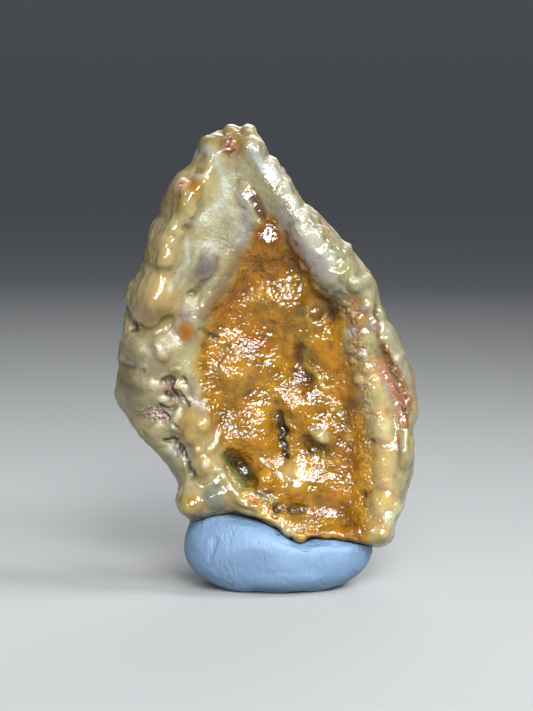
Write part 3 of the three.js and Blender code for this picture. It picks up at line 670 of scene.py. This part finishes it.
BASIN_PAINT = [
    # broad fields, from the top down
    ("94601c", (-4.2, 38), (3, 2.6), 0.7, 1),
    ("bc8228", (0.2, 40.8), (4.6, 2.6), 0.85, 1),
    ("8a561c", (0, 44.8), (3.4, 3), 0.95, 0.8),
    ("7c4818", (0.9, 46), (1.8, 1.6), 0.9, 1),
    ("a9723a", (-6.8, 34.6), (2, 3), 0.6, 1),
    ("bd831a", (-3.8, 34.4), (3.2, 2.8), 0.8, 1),
    ("ae6a00", (-1.2, 31), (2.4, 1.5), 0.95, 0.9),
    ("b4700a", (-4.6, 36.2), (1.6, 1.8), 0.7, 1),
    ("bb8a34", (-5.6, 29), (2.8, 3.2), 0.7, 1),
    ("bb8f52", (-2.4, 26.9), (2.2, 1.7), 0.7, 1),
    ("7e6d30", (-2.9, 25.2), (1.9, 1), 0.7, 1),
    ("a67a24", (0.4, 28.4), (2, 2), 0.6, 1),
    ("927220", (4.6, 32.4), (2.4, 1.5), 0.8, 1),
    ("643c08", (4, 29.7), (1.4, 2.1), 0.95, 1),
    ("683800", (4.7, 26.8), (2.3, 1.9), 0.95, 1),
    ("c28a00", (7.7, 29.2), (1.9, 3.2), 0.95, 0.9),
    ("b88214", (9.1, 26.4), (1.4, 2.8), 0.85, 1),
    ("a58b36", (8.8, 22.4), (1.6, 1.4), 0.8, 1),
    ("ba8a54", (11.6, 22.4), (1.3, 2.2), 0.8, 1),
    ("7e5410", [(10.2, 24), (9.4, 20.6), (8.4, 18)], 0.8, 0.7, 1),
    ("96701e", (-4.2, 21.6), (2.8, 3.2), 0.8, 1),
    ("b4801a", (-1.4, 19.6), (2.4, 2), 0.7, 1),
    ("c7861a", (3.2, 19.3), (1, 0.9), 0.8, 1),
    ("bc8200", (9.2, 14), (2.2, 4.4), 0.95, 0.9),
    ("caa050", (12.2, 16), (1, 3), 0.8, 1),
    # painted highlight: a pale patch where the glints cluster on the swell at the basin's foot
    ("dad6ce", (3.3, 14.5), (2.3, 1.8), 0.65, 1),
    ("ccac6c", (6.4, 10.9), (1.8, 0.8), 0.7, 1),
    ("a3853a", (7.6, 8.6), (2.6, 1), 0.5, 1),
    ("c69434", (8, 6.8), (4, 1.2), 0.8, 1),
    ("937f36", (3, 8.2), (2, 1.2), 0.7, 1),
    ("a9823c", (12.4, 9), (0.8, 2.4), 0.6, 1),
    ("b4863e", (-5.2, 18.4), (1.4, 1.6), 0.6, 1),
    ("b88f3c", (-4.6, 13), (1.8, 1.5), 0.8, 1),
    # the crescent and the eye
    ("b88670", [(4.6, 41.8), (6.2, 40.6), (7, 38.6)], 0.8, 0.8, 1),
    ("a4882c", [(3, 40), (4.4, 39.8), (5, 38.6)], 0.6, 0.7, 1),
    ("c47808", [(3.6, 41), (5.3, 40), (5.9, 38.3)], 0.7, 0.9, 0.9),
    ("d8b24c", [(3.2, 39.2), (4.4, 39), (4.6, 38.1)], 0.4, 0.7, 1),
    # dark olive and maroon in the hollow at the crest's foot, partly painted shade
    ("4a3012", (8, 35.3), (1.4, 2.4), 0.9, 1),
    ("4a2014", (6.9, 36.8), (1.2, 1), 0.85, 1),
    ("5c5f38", (4.2, 35), (1.4, 1.1), 0.85, 1),
    ("b0935c", (6, 34.8), (1.7, 1.7), 0.85, 0.5),
    ("6d4a14", EYE, (1.05, 1.05), 0.85, 0.6),
    ("a96f14", EYE, (0.8, 0.8), 0.95, 0.7),
    ("b29a52", FLOW_LINE, 0.45, 0.8, 0.8),
    # the pale knob, the dark crescent and ring under it (olive-brown stone, darkened as a painted shadow),
    # and the black split
    ("8c7014", [(4.6, 19.1), (5.3, 17.7), (7.3, 17.5)], 0.9, 0.9, 1),
    ("5c3008", [(4.8, 17.4), (5.8, 16.9)], 0.4, 0.8, 1),
    ("6e4a18", (6.3, 19.3, -35), (2.1, 1.4), 0.85, 0.7),
    ("bcbac0", (6.45, 19.55, -35), (1.5, 0.95), 1, 0.6),
    ("7f7d64", [(1.35, 22.2), (1.6, 20.9), (2, 19.9), (1.8, 18.9), (2.3, 17.9), (2.5, 16.4)],
     0.9, 0.55, 1),
    ("08090a", BLACK_SPLIT, 0.42, 1, 0.9),
    # hollows at the foot
    ("5f7a76", [(-5.4, 17.3), (-4.3, 15.3), (-3, 13.6)], 0.9, 0.85, 1),
    ("24260f", [(-4.5, 16.8), (-3.4, 15.6), (-2.4, 14.5)], 0.6, 0.95, 1),
    ("768460", [(-2.6, 13.5), (-0.4, 12), (0.9, 11.3)], 0.6, 0.85, 1),
    ("76522a", [(-2, 14.4), (-1.1, 12.9), (0.4, 12.5)], 0.4, 0.85, 1),
    ("b4882e", (-0.45, 14.4), (1.15, 1.1), 0.9, 0.8),
    ("1a1a1c", (1.2, 10.7), (0.9, 0.8), 0.95, 1),
    ("2c261c", (0.8, 9.8), (0.6, 0.45), 0.85, 1),
    ("726c3c", (3.6, 10.2), (2, 0.8), 0.85, 1),
    ("5a3e1a", (2.4, 10.4), (0.7, 0.6), 0.7, 1),
    ("cb7a0c", (-2.5, 12, -20), (1.2, 0.5), 0.95, 0.8),
    ("c89a34", [(-5.8, 11), (-2.6, 10), (0.4, 8.9), (3, 7.6)], 1.2, 0.9, 0.8),
    ("c8a848", (3.9, 7), (1.1, 1.1), 0.9, 0.8),
    ("1b1a16", (12.7, 18.8), (0.38, 0.38), 0.97, 0.8),
    ("161616", (11.7, 12.4), (0.5, 0.45), 0.97, 0.8),
    ("4c4838", [(-8.4, 32.7), (-7.3, 32.4), (-6.3, 31.6)], 0.4, 0.8, 1),
    ("564c34", (-4.7, 30.7), (0.5, 0.3), 0.7, 1),
]
# Stains round the pointed top of the basin, over the rim's paint and the basin's.
TOP_PAINT = [
    ("a2a0a4", [(-2.8, 49.4), (-2.7, 46.6), (-3, 43.4)], 1.2, 0.75, 1),
    ("84542c", [(-8, 34.4), (-6.4, 37), (-4.7, 39.8), (-3.3, 42.4)], 0.9, 0.6, 1),
    ("a49ea2", [(1.6, 47.6), (3, 44.8), (5, 42.2), (7, 39.6)], 1.3, 0.85, 1),
    ("9a6a58", [(2.6, 44.8), (4.2, 42), (5.6, 39.8)], 0.7, 0.6, 1),
    ("a67c6c", [(2.4, 44), (3.6, 42.2)], 0.9, 0.6, 1),
    ("5e3a28", [(-1.9, 49.4), (-1.3, 48.2), (-0.6, 47)], 0.85, 0.9, 0.9),
    ("b4822c", (-1.95, 49.9), (0.75, 0.65), 0.95, 0.7),
]

# How rough the skin is: 0 is glass-smooth and 1 is pebbly.
CREAM_SKIN = 0.36
BASIN_SKIN = 0.79  # what the basin has more than the cream
CALM_SKIN = 0.35  # what the basin's calm patches have less
BACK_SKIN = 0.6
CREAM_GLOSS = 0.5  # 1 is wet, as the basin is
# Skin of its own: amount, place, size, strength, soft edge.
SKIN = [
    (0.6, CREST, 2.6, 1, 0.8),
    (0.6, STREAK, 1.2, 1, 1),
    (0.05, [(-8, 52), (-10.4, 49), (-12.2, 45), (-13.6, 41)], 3, 1, 0.6),
    (0.4, BIG_KNOB, (4.2, 4.1), 1, 0.5),
    (0.1, LENS, (1.5, 2.5), 1, 0.5),
    (0.1, ORANGE_SPOT, (1.4, 1.8), 1, 0.6),
    (0.15, (-9, 20.6), (2.4, 2.8), 1, 0.6),
    (0.1, (-9.6, 11), (2.4, 2.4), 1, 0.6),
    (0.2, (-6.6, 12.2), (1.8, 1.8), 1, 0.6),
    (0.8, [(13, 25), (14.2, 20.8), (14.7, 14), (14.6, 7)], 1.8, 1, 0.6),
    (0.2, [(13.4, 37), (15.4, 31), (17.6, 26)], 1.3, 1, 0.6),
    (0.1, (9.6, 40), (1.6, 1.6), 1, 0.6),
    (1, (-13.9, 22.2), (1.8, 1.2), 1, 0.8),
    (1, BASIN_LEFT_EDGE, 1.6, 1, 1),
    (1, (-15.2, 19.9), (0.9, 0.8), 1, 1),
    (0.15, (7.8, 29), (1.6, 2.6), 0.8, 1),
    (0.12, [(-9.3, 49), (-10.2, 46.8), (-11.4, 44.3), (-12.3, 41.6)], 1.3, 1, 1),
    (0.5, (0.6, 44.6), (2.6, 3), 1, 0.5),
    (0.45, (3.4, 14.5), (3, 2.3), 1, 0.6),
    (0.3, PALE_KNOB, (1.6, 1), 1, 0.6),
    (0.9, [(13.5, 31), (14.4, 28), (15.6, 25.8), (16.6, 22.4)], 1.3, 1, 0.8),
    (1, [(9.2, 36.4), (10.2, 33.6), (11, 30), (11.8, 26), (12.2, 21), (12.2, 12)], 1.5, 1, 0.9),
]
# Gloss of its own: amount, place, size, strength, soft edge.
GLOSS = [
    (1, [(-8, 53), (-10.4, 49), (-12.2, 45), (-13.6, 41)], 3, 1, 0.6),
    (0.85, BIG_KNOB, (4.4, 4.3), 1, 0.5),
    (1, (0.4, 44.6), (3, 3.4), 1, 0.5),
    (0.15, LENS, (1.8, 2.8), 1, 0.6),
    (0.15, (-5, 45.6), (3.2, 7), 1, 1),
    (0.2, (-9.8, 35.8), (1.8, 2.4), 1, 1),
    (1, ORANGE_SPOT, (1.4, 1.8), 1, 0.6),
    (1, BASIN_LEFT_EDGE, 1.6, 1, 1),
    (1, [(-7, 56), (-2, 56.5)], 2.4, 1, 0.6),
    (1, CREST, 2.6, 1, 0.8),
    (1, [(11.6, 36), (12, 30), (13, 25), (14.2, 20.8), (14.7, 14), (14.6, 7)], 2.8, 1, 0.6),
    (1, STREAK, 1.4, 1, 1),
    (0.9, (-9, 19.6), (3, 4), 1, 0.6),
    (0.9, (-8.4, 11.8), (3.6, 3), 1, 0.6),
    (0.9, [(-6, 14), (-2, 10.6), (3, 7.6), (10, 7.4)], 1.8, 1, 0.6),
    (0.8, CREVICED_KNOT, (2.4, 3), 1, 0.8),
    (1, [(13.6, 32), (14.6, 28), (16.2, 23.4), (16.4, 18)], 1.4, 1, 0.6),
    (0.9, (-15.2, 20.4), (1.2, 1), 1, 1),
]
# Where the stone is flecked with dark red and white: amount, place, size, strength, soft edge.
FLECK_SWAY = (0.7, 0.35)  # the size and the reach of the waves in their borders
FLECKS = [
    (1, (-4.65, 55.3), (1, 1.4), 1, 0.5),
    (1, SPECKLED_PATCH, (1.9, 1.2), 1, 0.6),
    (1, ORANGE_KNOB, (0.5, 0.4), 1, 0.5),
    (0.25, RIM_GROOVE, 0.7, 1, 0.5),
    (0.3, CREVICED_KNOT, (1.4, 2.2), 1, 0.8),
    (0.8, (-13.5, 30.4), (0.8, 0.6), 1, 0.8),
    (0.8, RED_BEAD, (0.4, 0.9), 1, 0.6),
    (0.6, (-11.4, 17.8), (1, 1.2), 1, 0.8),
    (0.6, [(9.4, 36), (10.4, 33.6), (11.2, 31), (12.4, 28.6)], 1.3, 1, 1),
    (0.5, [(14.4, 30.4), (15.8, 27.6), (16.9, 24.6), (16.9, 21)], 0.5, 1, 1),
    (0.6, [(11.9, 26), (12, 21), (12.2, 16)], 0.9, 1, 1),
    (0.6, RINGED_BEAD, (0.5, 0.5), 1, 0.6),
    (0.5, (6.45, 19.5), (1.2, 0.8), 1, 0.8),
    (0.5, (1.1, 10.3), (1, 1), 1, 0.8),
]


def linear(hex_colour):
    """The linear colour for a display colour such as c9a04a."""
    parts = np.array([int(hex_colour[i : i + 2], 16) / 255 for i in (0, 2, 4)])
    return np.where(parts < 0.04045, parts / 12.92, ((parts + 0.055) / 1.055) ** 2.4)


def mixed(share, first, second):
    if first.ndim == 2:
        share = share[:, None]
    return first + share * (second - first)


def painted(values, places, paint, cell=1.1, amount=0.2):
    """Lays each form's colour or amount over what is there."""
    x, z = warped(places, cell, amount)
    uneven = wobble(places)
    for value, place, size, strength, softness in paint:
        value = linear(value) if isinstance(value, str) else value
        share = strength * smoothstep(fullness(x, z, place, size, uneven), 0, softness)
        values = mixed(share, values, value)
    return values


def clouded(colours, places, fields):
    for colour, cell, shift, start, full in fields:
        colours = mixed(smoothstep(clouds(places + shift, cell), start, full), colours, linear(colour))
    return colours


def stone_colours(places, front, basin):
    """The colour of every vertex: a cream and olive rim, an amber basin, and a stained back, with some
    painted highlights, reflections and shadows.
    """
    even = np.ones((len(places), 1))
    cream = clouded(even * linear(CREAM_COLOUR), places, CREAM_CLOUDS)
    back = clouded(cream, places, BACK_CLOUDS)
    rim = painted(mixed(front, back, cream), places, RIM_PAINT)
    amber = clouded(even * linear(AMBER_COLOUR), places, AMBER_CLOUDS)
    amber = painted(amber, places, BASIN_PAINT)
    colours = mixed(basin, rim, amber)
    colours = mixed(front, colours, painted(colours, places, TOP_PAINT))
    return mixed(front, back, colours)


# ---- The stone ----
def make_agate():
    agate = finer_copy("agate", "botryoidal_agate", STONE_CUTS, STONE_SMOOTHING)
    mesh = agate.data
    places = points_of(mesh) / MM
    normals = normals_of(mesh)
    facing = -normals[:, 1]
    front = smoothstep(facing, *FRONT)
    x, z = warped(places, 2.2, 0.5, 0)
    basin = front * smoothstep(depth_inside(x, z, BASIN_OUTLINE), *BASIN_EDGE)
    calm = basin * smoothstep(clouds(places + 61, 3, 2), -0.1, 0.6)
    skin = painted(CREAM_SKIN + BASIN_SKIN * basin - CALM_SKIN * calm, places, SKIN)
    skin = mixed(front, np.full(len(places), BACK_SKIN), skin)

    places[:, 2] -= TIP_SINK * smoothstep(places[:, 2], *TIP)
    rise = stone_relief(places, facing, front, basin, skin)
    move_points(mesh, (places + rise[:, None] * normals) * MM)
    keep_values(mesh, "skin", skin)
    keep_values(mesh, "basin", basin)
    keep_values(mesh, "gloss", painted(CREAM_GLOSS + (1 - CREAM_GLOSS) * basin, places, GLOSS))
    keep_values(mesh, "tint", evened(mesh, stone_colours(places, front, basin), COLOUR_BLEEDING))
    keep_values(mesh, "fleck", front * painted(np.zeros(len(places)), places, FLECKS, *FLECK_SWAY))
    # how deep each vertex lies in a hollow, where the material paints shade
    keep_values(mesh, "hollow_shade", hollowness(mesh, HOLLOW_REACH))
    mesh.materials.append(stone_material())
    return agate


# ---- Materials ----
class Socket:
    """A shader socket that can be used in sums."""

    def __init__(self, nodes, link):
        self.nodes = nodes
        self.link = link

    def sum(self, operation, first, second):
        return self.nodes.add("Math", {"operation": operation}, {0: first, 1: second})

    def __add__(self, other):
        return self.sum("ADD", self, other)

    def __radd__(self, other):
        return self.sum("ADD", other, self)

    def __sub__(self, other):
        return self.sum("SUBTRACT", self, other)

    def __rsub__(self, other):
        return self.sum("SUBTRACT", other, self)

    def __mul__(self, other):
        return self.sum("MULTIPLY", self, other)

    def __rmul__(self, other):
        return self.sum("MULTIPLY", other, self)


class Nodes:
    """The node tree of a new material or of the world."""

    def __init__(self, owner, shader="Principled BSDF"):
        owner.use_nodes = True
        self.owner = owner
        self.tree = owner.node_tree
        self.shader = self.tree.nodes[shader]

    def add(self, kind, settings=None, inputs=None, output=0):
        """Adds a node by its type: first its settings, then the values or links of its sockets."""
        node = self.tree.nodes.new("ShaderNode" + kind)
        for name, value in (settings or {}).items():
            setattr(node, name, value)
        self.fill(node, inputs or {})
        return Socket(self, node.outputs[output])

    def fill(self, node, inputs):
        for name, value in inputs.items():
            if isinstance(value, Socket):
                self.tree.links.new(value.link, node.inputs[name])
            else:
                node.inputs[name].default_value = value

    def position(self):
        return self.add("TexCoord", output="Object")

    def noise(self, size, detail=2, roughness=0.5, where=None):
        """Soft noise from 0 to 1, whose lumps are about size millimetres wide."""
        inputs = {"Scale": 1 / (size * MM), "Detail": detail, "Roughness": roughness}
        return self.add("TexNoise", {}, {"Vector": where or self.position(), **inputs})

    def swayed(self, size, amount):
        """The object's coordinates, pushed to and fro by up to about amount millimetres."""
        inputs = {"Vector": self.position(), "Scale": 1 / (size * MM)}
        noise = self.add("TexNoise", {}, inputs, output="Color")
        reach = (2 * amount * MM,) * 3
        settings = {"operation": "MULTIPLY_ADD"}
        return self.add("VectorMath", settings, {0: noise, 1: reach, 2: self.position()})

    def cracks(self, size, width):
        """1 on the thin borders of cells of about size millimetres, and 0 beside them."""
        inputs = {"Vector": self.swayed(1.2, 0.5), "Scale": 1 / (size * MM)}
        edge = self.add("TexVoronoi", {"feature": "DISTANCE_TO_EDGE"}, inputs)
        return 1 - self.between(edge, 0, width / size)

    def between(self, value, low, high):
        """0 below low, 1 above high, and smooth between them."""
        settings = {"interpolation_type": "SMOOTHSTEP"}
        return self.add("MapRange", settings, {"Value": value, "From Min": low, "From Max": high})

    def blend(self, share, first, second, how="MIX"):
        """A mix of two colours. A colour is a socket or a display colour such as c9a04a."""
        colours = [c if isinstance(c, Socket) else (*linear(c), 1) for c in (first, second)]
        settings = {"data_type": "RGBA", "blend_type": how, "clamp_factor": True}
        return self.add("Mix", settings, {0: share, 6: colours[0], 7: colours[1]}, output=2)

    def attribute(self, name, output="Fac"):
        return self.add("Attribute", {"attribute_name": name}, output=output)

    def bump(self, strength, depth, height):
        """A bump whose relief is about depth millimetres deep."""
        return self.add("Bump", {}, {"Strength": strength, "Distance": depth * MM, "Height": height})


def mottled_and_hollow_shaded(nodes, basin, cream):
    """The stone's own colours with darker and lighter clouds in them, and painted shade in its hollows."""
    mottle = nodes.blend(nodes.between(nodes.noise(0.9, 5, 0.7), 0.34, 0.66), "6a665c", "959289")
    colour = nodes.blend(0.35 + cream * 0.2, nodes.attribute("tint", "Color"), mottle, "OVERLAY")
    patches = nodes.blend(nodes.between(nodes.noise(2.4, 4, 0.6), 0.36, 0.64), "807456", "e4dac2")
    colour = nodes.blend(basin * 0.5, colour, patches, "OVERLAY")
    smoke = nodes.between(nodes.noise(0.45, 3, 0.6), 0.4, 0.7) * (0.1 + cream * 0.4)
    colour = nodes.blend(smoke, colour, "d9cfae", "MULTIPLY")
    # painted shade: the colour is darkened where the skin lies in a hollow
    hollow_shade = nodes.between(nodes.attribute("hollow_shade"), 0, 0.05)
    return nodes.blend(hollow_shade * (0.25 + basin * 0.1), colour, "b88c4e", "MULTIPLY")


def flecked(nodes, colour):
    """The colour with dark red dots and white dots where the stone has them."""
    fleck = nodes.attribute("fleck")
    dots = nodes.noise(0.42, 3, 0.65)
    colour = nodes.blend(nodes.between(dots, 0.53, 0.58) * fleck * 0.9, colour, "6a3426")
    return nodes.blend((1 - nodes.between(dots, 0.38, 0.46)) * fleck * 0.8, colour, "e6d4c0")


def stone_material():
    nodes = Nodes(bpy.data.materials.new("agate"))
    basin, skin, gloss = [nodes.attribute(name) for name in ("basin", "skin", "gloss")]
    cream = 1 - basin
    dull = 1 - gloss
    cracks = nodes.cracks(1.9, 0.09) * nodes.between(nodes.noise(2.6, 1), 0.5, 0.66) * dull
    pebbles = nodes.cracks(0.6, 0.16) * cream * skin * dull

    colour = mottled_and_hollow_shaded(nodes, basin, cream)
    colour = nodes.blend(cracks * 0.5, colour, "a3946a", "MULTIPLY")
    colour = nodes.blend(pebbles * 0.8, colour, "b9ad84", "MULTIPLY")
    colour = flecked(nodes, colour)
    thinner = nodes.blend(basin, CREAM_THINNER, AMBER_THINNER)
    grain = nodes.noise(0.72, 1, 0.4) + nodes.noise(0.36, 1) * 0.4
    height = grain * (0.05 + skin * (0.6 + basin * 0.35)) - cracks * 0.15 - pebbles * 0.3
    nodes.fill(nodes.shader, {
        "Base Color": nodes.blend(1, colour, thinner, "MULTIPLY"),
        "Roughness": 0.05 + nodes.between(nodes.noise(1.4, 2), 0.35, 0.75) * 0.05 + dull * 0.6,
        "Normal": nodes.bump(1, 0.2, height),
        "IOR": 1.54,
        "Specular IOR Level": 0.54,
        "Subsurface Weight": 0.18,
        "Subsurface Radius": (1, 0.6, 0.3),
        "Subsurface Scale": 0.7 * MM,
    })
    return nodes.owner


def putty_material():
    nodes = Nodes(bpy.data.materials.new("display_putty"))
    leaning = {"Vector": nodes.position(), "Rotation": (0, math.radians(15), 0), "Scale": (1, 1, 0.22)}
    ridges = nodes.noise(0.42, 1, where=nodes.add("Mapping", {"vector_type": "POINT"}, leaning))
    worn = nodes.between(nodes.noise(3.5, 2), 0.4, 0.6)
    height = ridges * (0.3 + worn * 0.9) + nodes.noise(2.2, 3) * 0.9 + nodes.noise(0.8, 2) * 0.3
    nodes.fill(nodes.shader, {
        "Base Color": nodes.blend(nodes.noise(5, 3), "5b728b", "617993"),
        "Roughness": 0.46 + nodes.noise(1.5, 3) * 0.14,
        "Normal": nodes.bump(0.85, 0.16, height),
        "IOR": 1.45,
    })
    return nodes.owner


# ---- The putty ----
PUTTY_CUTS = 4
PUTTY_SMOOTHING = 16
PUTTY_UNEVENNESS = 0.16
PUTTY_GAP = 0.05  # between the putty and the finished stone
PUTTY_CLING = 0.3  # what was nearer to the stone than this lies against it
PUTTY_REACH = 1.2  # how far off the stone the putty is drawn towards it
# Marks that fingers left in it: place, size, rise.
PUTTY_MARKS = [
    ([(-7.15, 4.5), (-6.9, 5.6), (-6.4, 7)], 0.35, -0.22),
    ((-3, 3.4, 20), (4.2, 2.6), -0.35),
    ((6.4, 4.8, -15), (4.4, 2.4), -0.25),
    ((-8.6, 6.6), (1.6, 1.6), 0.2),
    ((1.8, 1.8), (5, 1.4), 0.2),
]


def drawn_to(stone, points):
    """The points, in metres, after those near the stone have closed up to it."""
    tree = BVHTree.FromObject(stone, bpy.context.evaluated_depsgraph_get())
    for i, point in enumerate(points):
        near, normal, _, _ = tree.find_nearest(Vector(point), PUTTY_REACH * MM)
        if near is None:
            continue
        gap = (Vector(point) - near).dot(normal) / MM
        if gap < PUTTY_REACH:
            kept = PUTTY_GAP + max(0, gap - PUTTY_GAP) * smoothstep(gap, PUTTY_CLING, PUTTY_REACH)
            points[i] = near + normal * kept * MM
    return points


def make_putty(stone):
    putty = finer_copy("putty", "display_putty", PUTTY_CUTS, PUTTY_SMOOTHING)
    mesh = putty.data
    places = points_of(mesh) / MM
    x, y, z = places.T
    normals = normals_of(mesh)
    outside = smoothstep(np.abs(normals[:, 1]), 0.1, 0.5)
    marks = sum(rise * fullness(x, z, place, size) for place, size, rise in PUTTY_MARKS)
    rise = outside * (marks * (y < 0) + PUTTY_UNEVENNESS * clouds(places, 4, 2))
    moved = np.clip((places + rise[:, None] * normals) * MM, cad_low, cad_high)
    move_points(mesh, drawn_to(stone, moved))
    mesh.materials.append(putty_material())
    return putty


# ---- Stage ----
def make_floor():
    bm = bmesh.new()
    bmesh.ops.create_grid(bm, x_segments=1, y_segments=1, size=FLOOR_REACH)
    floor = mesh_object("floor", bm)
    nodes = Nodes(bpy.data.materials.new("pale_floor"))
    nodes.fill(nodes.shader, {
        "Base Color": FLOOR_COLOUR,
        "Roughness": FLOOR_ROUGHNESS,
        "Specular IOR Level": 0,
    })
    floor.data.materials.append(nodes.owner)


def make_lamp(name, azimuth, elevation, size, radiance, colour):
    """A square lamp that looks at the stone, azimuth degrees to the right of the camera's side."""
    turn, lift = math.radians(azimuth), math.radians(elevation)
    back = Vector((math.sin(turn) * math.cos(lift), -math.cos(turn) * math.cos(lift), math.sin(lift)))
    half_beam = math.radians(BEAM) / 2
    data = bpy.data.lights.new(name, "AREA")
    data.size = size
    data.spread = 2 * half_beam
    data.energy = radiance * math.pi * size**2 * (1 - half_beam / math.tan(half_beam))
    data.color = colour
    lamp = bpy.data.objects.new(name, data)
    lamp.location = Vector((0, 0, LAMP_TARGET)) + LAMP_DISTANCE * back
    lamp.rotation_euler = (-back).to_track_quat("-Z", "Y").to_euler()
    bpy.context.scene.collection.objects.link(lamp)


def make_sky():
    bpy.context.scene.world = bpy.data.worlds.new("studio")
    nodes = Nodes(bpy.context.scene.world, "Background")
    height = nodes.add("SeparateXYZ", {}, {0: nodes.add("TexCoord", output="Generated")}, output="Z")
    sky = nodes.blend(nodes.between(height, 0, SKY_FROM), HORIZON_COLOUR, SKY_COLOUR)
    nodes.fill(nodes.shader, {"Color": sky, "Strength": 1})


def make_stage():
    make_floor()
    for name, lamp in LAMPS.items():
        make_lamp(name, *lamp)
    make_sky()
    bpy.context.scene.view_settings.view_transform = "Standard"


def make_camera():
    lift = math.radians(CAMERA_ELEVATION)
    data = bpy.data.cameras.new("camera")
    data.sensor_width = SENSOR
    data.lens = SENSOR * CAMERA_DISTANCE / VIEW_HEIGHT
    data.clip_start = NEAREST_SEEN
    camera = bpy.data.objects.new("camera", data)
    camera.location = VIEW_MIDDLE + CAMERA_DISTANCE * Vector((0, -math.cos(lift), math.sin(lift)))
    camera.rotation_euler = (math.pi / 2 - lift, 0, 0)
    bpy.context.scene.collection.objects.link(camera)
    bpy.context.scene.camera = camera


make_camera()
make_stage()
agate = make_agate()
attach(agate, "root")
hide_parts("agate")
putty = make_putty(agate)
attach(putty, "root")
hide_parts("putty")
